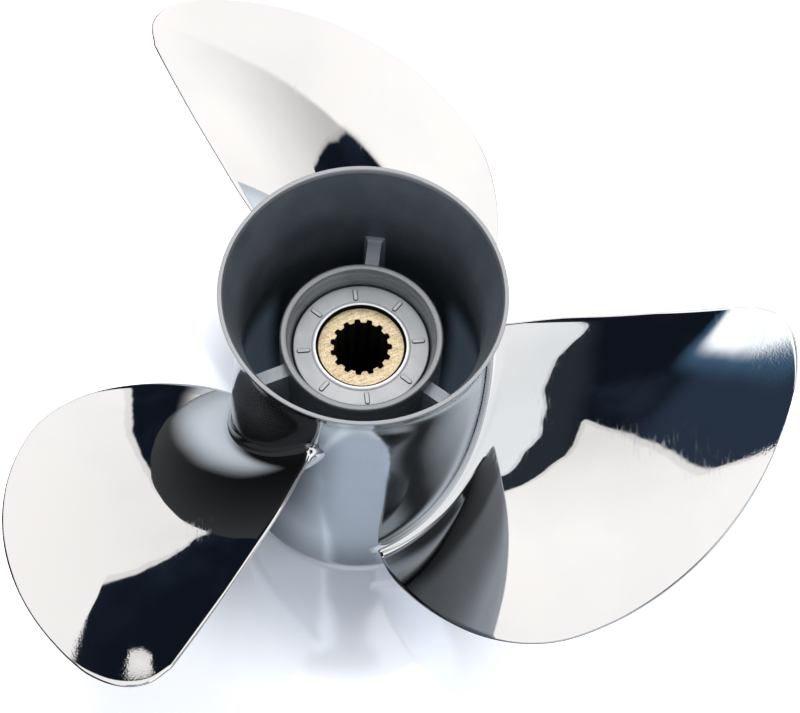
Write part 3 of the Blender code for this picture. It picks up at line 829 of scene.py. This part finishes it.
# %% Directions of the tent
world = bpy.data.worlds.new("light_tent")
bpy.context.scene.world = world
world.use_nodes = True
tree = world.node_tree
tree.nodes.clear()
FOLD_DEPTH = 0.022
direction = add_node(tree, "TexCoord").outputs["Generated"]
folds = add_noise(tree, direction, 9.0, 4.5)
shift = vector_math(tree, "SUBTRACT", folds["Color"], (0.5, 0.5, 0.5))
bent = vector_math(tree, "ADD", direction, scale_color(tree, shift, FOLD_DEPTH))
parts = add_node(tree, "SeparateXYZ", {0: vector_math(tree, "NORMALIZE", bent)}).outputs
turn = calculate(tree, "DIVIDE", calculate(tree, "ARCTAN2", parts["Y"], parts["X"]), 2 * math.pi)
azimuth = calculate(tree, "WRAP", turn, 1.0, 0.0)
rise = calculate(tree, "MULTIPLY_ADD", calculate(tree, "ARCSINE", parts["Z"]), 1 / math.pi, 0.5)


# %% Curves and edges over the azimuth
def over_azimuth(points):
    """Return a value drawn through (azimuth in degrees, value from 0 to 1)."""
    node = tree.nodes.new("ShaderNodeFloatCurve")
    curve = node.mapping.curves[0]
    curve.points[0].location = (0.0, points[0][1])
    curve.points[1].location = (1.0, points[-1][1])
    for degrees, value in points:
        curve.points.new(degrees / 360, value)
    for point in curve.points:
        point.handle_type = "VECTOR"
    node.mapping.update()
    tree.links.new(azimuth, node.inputs["Value"])
    return node.outputs[0]


clearances = {}


def above(points, softness=0.25, lower=0.0):
    """Return 1 above the edge through (azimuth, elevation) points, lowered by some degrees."""
    key = tuple(points)
    if key not in clearances:
        edge = over_azimuth([(degrees, elevation / 180 + 0.5) for degrees, elevation in points])
        clearances[key] = calculate(tree, "SUBTRACT", rise, edge)
    return fade(tree, clearances[key], (-softness - lower) / 180, (softness - lower) / 180)


def product(*masks):
    """Return the product of several masks."""
    out = masks[0]
    for mask in masks[1:]:
        out = calculate(tree, "MULTIPLY", out, mask)
    return out


def opposite(mask):
    """Return one minus a mask."""
    return calculate(tree, "SUBTRACT", 1.0, mask)


def greatest(*masks):
    """Return the greatest of several masks."""
    out = masks[0]
    for mask in masks[1:]:
        out = calculate(tree, "MAXIMUM", out, mask)
    return out


# %% Edges of the gap round the camera, which the right-hand blade shows
WALL_TOP = [
    (184, 89), (185, 64), (188, 62), (191, 59.5), (194, 57), (200, 55.5), (206, 54.5), (210, 53.5),
    (215, 52), (220, 50), (225, 46), (229, 43), (232, 40.7), (234, 30), (290, 30), (310, 89),
]
WALL_FOOT = [
    (184, -89), (201, -89), (202, 25), (204, 27), (207, 31), (210, 33.5), (214, 35.5), (218, 38.5),
    (222, 39.8), (228, 40.5), (232, 40.7), (233, 89),
]
LOW_WALL = [
    (203, -89), (204, 18), (210, 22), (211, 25), (214, 27), (218, 28), (222, 28.5), (224, 30), (228, 31.2),
    (235, 31), (240, 31.2), (244, 30), (248, 29), (255, 30), (260, 31), (262, 33), (264, 35), (266, 38),
    (268, 39), (270, 37), (274, 33), (290, 30), (310, 89),
]
CEILING = [
    (184, 62), (187, 62.5), (190, 64), (195, 67), (200, 68.5), (208, 68), (214, 67.2), (218, 66.3),
    (222, 65), (226, 64), (230, 62.5), (234, 61), (237, 60.5), (240, 61), (242, 62.5), (245, 66),
    (248, 74), (255, 85), (290, 85), (310, 60),
]

# %% Edges of the gaps behind, which the left-hand and the upper blade show
LEFT_FOOT = [
    (104, 89), (106, 23), (106.2, 15), (107, 14), (109, 12), (113, 8), (115, 5), (117, 0), (119, -2),
    (121, -6), (145, -8), (172, -8), (176, 89),
]
LEFT_TOP = [(100, 23), (107, 23), (120, 24), (176, 26)]
PATCH_FOOT = [(110.5, 89), (112, 19.5), (113.5, 18.5), (115.5, 19), (117, 89)]
PATCH_TOP = [(110, 20.5), (113, 21.4), (118, 20.8)]
LOW_TOP = [
    (60, 16), (72, 15), (75, 13), (80, 9), (85, 6), (90, 3), (95, 0), (100, -2), (105, -2.5),
    (110, -5), (121, -6.5), (150, -7), (151, -89),
]
LOW_FOOT = [
    (55, 89), (60, 14), (66, 9), (72, 4), (76, 1), (80, -2), (85, -5), (90, -9), (100, -14), (150, -20),
]
SMALL_TOP = [
    (3, -89), (4, 37.3), (12, 37.3), (16, 36.8), (18, 34), (21, 31), (24, 27), (27, 22), (29, 19),
    (30, -89),
]
SMALL_FOOT = [(3, 89), (4, 8), (30, 8), (32, 89)]

# %% Edges of the low gaps at the sides, which the rounded edges of the blades show
SIDE_FOOT = [
    (0, -6), (34, -6), (36, 89), (176, 89), (179, -6), (221, -6), (223, 89), (320, 89), (330, -6),
    (360, -6),
]
SIDE_TOP = [
    (0, 9), (30, 9), (36, -20), (176, 18), (187, 20), (205, 20), (206, 17.5), (221, 17.5), (325, -20),
    (335, 9), (360, 9),
]


# %% Masks of the gaps
def gap_mask(grown):
    """Return the mask of every gap, grown by some degrees on all sides."""
    wall = product(above(WALL_FOOT, lower=-grown), opposite(above(WALL_TOP, lower=grown)))
    right = product(above(LOW_WALL, lower=grown), opposite(wall), opposite(above(CEILING, 1.6, -grown)))
    left = product(above(LEFT_FOOT, lower=grown), opposite(above(LEFT_TOP, lower=-grown)))
    patch = product(above(PATCH_FOOT, lower=-grown), opposite(above(PATCH_TOP, lower=grown)))
    left = product(left, opposite(patch))
    low = product(opposite(above(LOW_TOP, lower=-grown)), above(LOW_FOOT, 3.0, grown))
    small = product(opposite(above(SMALL_TOP, 0.6, -grown)), above(SMALL_FOOT, lower=grown))
    side = product(above(SIDE_FOOT, 0.6, grown), opposite(above(SIDE_TOP, 0.4, -grown)))
    return greatest(right, left, low, small, side)


HEM_WIDTH = 1.1
gaps = gap_mask(0.0)
hems = gap_mask(HEM_WIDTH)

# %% Brightness of the cloths
BRIGHTEST = 1.68
HEM_SHADE = 0.16
WARM_WHITE, COOL_WHITE = (1.0, 0.975, 0.95), (0.99, 1.01, 1.02)
SIDE_LIGHT, TIP_LIGHT = (0.86, 0.90, 0.94), (1.70, 1.80, 1.85)
hem = calculate(tree, "MULTIPLY_ADD", hems, -HEM_SHADE, 1.0)
bright = over_azimuth([
    (0, 0.98), (20, 0.93), (36, 0.93), (44, 0.98), (60, 0.98), (75, 0.91), (95, 0.88), (120, 0.83),
    (150, 0.90), (184, 0.94), (200, 0.88), (208, 0.85), (216, 0.78), (224, 0.73), (232, 0.76), (260, 0.98),
    (360, 0.98),
])
smoke_top = opposite(above([(0, 37.3), (60, 37.3), (61, -89), (360, -89)], 0.7))
smoky = over_azimuth([
    (0, 0.5), (20, 0.54), (24, 0.62), (28, 0.72), (32, 0.82), (36, 0.90), (40, 0.96), (44, 0.99),
    (50, 1.0), (360, 1.0),
])
smoky = calculate(tree, "ADD", product(smoky, smoke_top), opposite(smoke_top))
higher = fade(tree, rise, 0.5, 0.62, 0.93, 1.0)
warm = scale_color(tree, WARM_WHITE, product(bright, smoky, higher, hem, BRIGHTEST))

# %% The duller cloth in front, the light from the side, and the light over the tip
dull = over_azimuth([
    (0, 0.78), (200, 0.78), (240, 0.78), (256, 0.73), (266, 0.73), (275, 0.78), (360, 0.78),
])
cool = scale_color(tree, COOL_WHITE, product(dull, hem, BRIGHTEST))
front_wall = opposite(above([(195, -89), (203, -89), (204, 42), (300, 42), (301, -89)], 1.0))
front_side = above([(0, 89), (200, 89), (201, -89), (300, -89), (301, 89)])
cloth = mix_colors(tree, product(front_wall, front_side, opposite(above(WALL_FOOT))), warm, cool)
from_side = opposite(above([(0, -89), (58, -89), (60, 11), (75, 9), (82, -89), (360, -89)], 2.0))
cloth = mix_colors(tree, from_side, cloth, SIDE_LIGHT)
over_tip = over_azimuth([(0, 0), (203, 0), (208, 1), (246, 1), (252, 0), (360, 0)])
cloth = mix_colors(tree, product(above(CEILING, 1.6), over_tip), cloth, TIP_LIGHT)

# %% Depths of the gaps
BLACK, SMOKE = (0.008, 0.011, 0.020), (0.022, 0.033, 0.055)
HIGH_BLUE, EDGE_BLUE, LOW_HAZE = (0.032, 0.050, 0.085), (0.10, 0.22, 0.37), (0.032, 0.040, 0.052)
smoke = add_noise(tree, direction, 4.0, 3.0)
dark = mix_colors(tree, fade(tree, smoke["Fac"], 0.45, 0.75), BLACK, SMOKE)
beyond = product(
    above([(180, 50), (206, 48), (222, 52), (232, 60), (240, 66), (300, 89)], 5.0),
    above([(150, 89), (180, 0), (240, 0), (260, 89)], 3.0),
)
dark = mix_colors(tree, beyond, dark, HIGH_BLUE)
dark = mix_colors(tree, product(above(CEILING, 3.0, 2.0), over_tip), dark, EDGE_BLUE)
low_haze = product(
    above([(190, 89), (200, 0), (270, 0), (280, 89)], 3.0),
    opposite(above([(200, 40), (270, 40)], 4.0)),
)
dark = mix_colors(tree, low_haze, dark, LOW_HAZE)
tent = mix_colors(tree, gaps, cloth, dark)

# %% [markdown]
# Light that depends on the ray
#
# A tent has to serve three kinds of ray. The camera sees plain white. Matt surfaces gather
# a cool, weaker light. Mirrors see the cloths, but the hub and the blades reflect each
# other too, and a second reflection looks under the cloths, where the tent is dark behind
# and grey in front. The Light Path node tells the rays apart.

# %% World
MATT_LIGHT, UNDER_LIGHT = (0.80, 0.85, 0.95), (1.20, 1.27, 1.34)
DEPTH_OF_SECOND = 2.5
SECOND_BELOW, SECOND_SOFT = 49, 5
path = add_node(tree, "LightPath").outputs
second = product(path["Is Glossy Ray"], calculate(tree, "GREATER_THAN", path["Ray Depth"], DEPTH_OF_SECOND))
edges = [0.5 + (SECOND_BELOW + side * SECOND_SOFT) / 180 for side in (-1, 1)]
second = product(second, fade(tree, rise, *edges, 1.0, 0.0))
under = over_azimuth([
    (0, 0.8), (40, 0.8), (60, 0.5), (75, 0.09), (110, 0.05), (178, 0.07), (188, 0.3), (198, 0.5),
    (206, 0.45), (214, 0.12), (218, 0.04), (226, 0.04), (234, 0.25), (246, 0.55), (262, 0.9),
    (300, 0.9), (360, 0.8),
])
mirrored = mix_colors(tree, second, tent, scale_color(tree, UNDER_LIGHT, under))
gathered = mix_colors(tree, path["Is Diffuse Ray"], mirrored, MATT_LIGHT)
lit = add_node(tree, "Background", {"Color": gathered, "Strength": 1.0}).outputs[0]
seen = add_node(tree, "Background", {"Color": (1.0, 1.0, 1.0, 1.0), "Strength": 1.0}).outputs[0]
mix = add_node(tree, "MixShader", {0: path["Is Camera Ray"], 1: lit, 2: seen})
tree.links.new(mix.outputs[0], add_node(tree, "OutputWorld").inputs["Surface"])

# %% [markdown]
# The sheet and the lamp
#
# The sheet is white acrylic: mostly matt, with a faint mirror image of the hub. Seen in the
# polish its colour carries painted light and shade: a painted pool of light near the hub and
# a painted light lane behind it, a painted contact shadow at the hub's foot, and painted
# dark further out, where the tent ends. To the camera it glows a little away from the hub:
# that glow is painted light, which whitens the sheet and leaves painted shade round the
# hub. One large lamp from behind whitens it and gives the soft shadows. The lamp isn't
# seen in the metal, which has the tent for that.

# %% The glossy sheet
bm = bmesh.new()
bmesh.ops.create_grid(bm, x_segments=8, y_segments=8, size=3.0)
bmesh.ops.translate(bm, verts=bm.verts, vec=(0, 0, FRONT_END - 0.0002))
mesh = bpy.data.meshes.new("glossy_sheet")
bm.to_mesh(mesh)
bm.free()
sheet = bpy.data.objects.new("glossy_sheet", mesh)
bpy.context.scene.collection.objects.link(sheet)
sheet_white, tree, shader, place = new_metal("sheet_white", 0.10, metallic=0.22)
parts = add_node(tree, "SeparateXYZ", {0: place})
x, y = parts.outputs["X"], parts.outputs["Y"]
reach = from_axis(tree, place)

# %% Painted light and shade on the sheet as the polish sees it: a light lane behind, light ground near the hub, dark beyond
LANE_SIDE, LANE_SLOPE, LANE_BEND = -0.13, 0.13, 0.03
LANE_SOFT, LANE_SPREAD = 0.035, 0.05
bend = calculate(tree, "MULTIPLY_ADD", product(y, y), LANE_BEND, LANE_SIDE)
lane_edge = calculate(tree, "MULTIPLY_ADD", y, LANE_SLOPE, bend)
lane_soft = calculate(tree, "MULTIPLY_ADD", greatest(y, 0.0), LANE_SPREAD, LANE_SOFT)
past_edge = calculate(tree, "DIVIDE", calculate(tree, "SUBTRACT", x, lane_edge), lane_soft)
lane = product(fade(tree, past_edge, -1.0, 1.0), fade(tree, y, 0.05, 0.2, 0.85, 1.05))
right_side = fade(tree, x, 0.03, 0.055, 0.0, 0.6)
sideways = calculate(tree, "ADD", fade(tree, x, -0.075, -0.01, 0.1, 1.5), right_side)
# Painted contact shadow: on its left side the sheet is half as light at the hub's foot.
foot = greatest(fade(tree, reach, 0.054, 0.070, 0.5, 1.0), fade(tree, x, 0.0, 0.03))
near_hub = product(fade(tree, reach, 0.115, 0.145, 1.0, 0.0), foot, sideways)
painted_dark_left = fade(tree, x, -0.10, -0.05, 0.0, 0.17)
painted_dark_beyond = calculate(tree, "ADD", painted_dark_left, fade(tree, x, 0.02, 0.20, 0.0, 0.30))
in_polish = mix_colors(tree, fade(tree, y, -0.02, 0.06), greatest(near_hub, painted_dark_beyond), lane)

# %% What the camera sees of the sheet
GLOW_START, GLOW_FULL, GLOW = 0.066, 0.125, 0.50
PLAIN_WHITE, POLISH_TINT = (0.90, 0.915, 0.96), (0.93, 0.98, 1.03)
paths = add_node(tree, "LightPath").outputs
tinted = vector_math(tree, "MULTIPLY", in_polish, POLISH_TINT)
white = mix_colors(tree, paths["Is Glossy Ray"], PLAIN_WHITE, tinted)
tree.links.new(white, shader.inputs["Base Color"])
# Painted light: emission for camera rays whitens the sheet away from the hub and leaves painted shade round
# it.
glow = product(fade(tree, reach, GLOW_START, GLOW_FULL, 0.0, GLOW), paths["Is Camera Ray"])
tree.links.new(glow, shader.inputs["Emission Color"])
shader.inputs["Emission Strength"].default_value = 1.0
mesh.materials.append(sheet_white)

# %% The lamp behind
LAMP_SIZE, LAMP_POWER = 0.9, 22.0
lamp_place = Vector((-0.25, 0.85, 1.25))
lamp_data = bpy.data.lights.new("soft_lamp", "AREA")
lamp_data.shape = "SQUARE"
lamp_data.size = LAMP_SIZE
lamp_data.energy = LAMP_POWER
lamp = bpy.data.objects.new("soft_lamp", lamp_data)
lamp.visible_glossy = False
lamp.visible_camera = False
aim = lamp_place.to_track_quat("Z", "Y").to_matrix().to_4x4()
lamp.matrix_world = Matrix.Translation(lamp_place) @ aim
bpy.context.scene.collection.objects.link(lamp)

# %% Camera at the photograph's angle
LENS = 97.3
CAMERA_PLACE = (0.0, -0.38836, 0.82434)
YAW, PITCH, ROLL = 2.37, 63.93, 4.59
camera = bpy.data.objects.new("camera", bpy.data.cameras.new("camera"))
bpy.context.scene.collection.objects.link(camera)
camera.data.sensor_width = 36.0
camera.data.lens = LENS
yaw, pitch, roll = math.radians(YAW), math.radians(PITCH), math.radians(ROLL)
ahead = Vector((math.sin(yaw) * math.cos(pitch), math.cos(yaw) * math.cos(pitch), -math.sin(pitch)))
right = Vector((math.cos(yaw), -math.sin(yaw), 0.0))
level_up = right.cross(ahead)
side = math.cos(roll) * right + math.sin(roll) * level_up
up = -math.sin(roll) * right + math.cos(roll) * level_up
turned = Matrix((side, up, -ahead)).transposed().to_4x4()
camera.matrix_world = Matrix.Translation(CAMERA_PLACE) @ turned
bpy.context.scene.camera = camera
bpy.context.scene.view_settings.view_transform = "Standard"
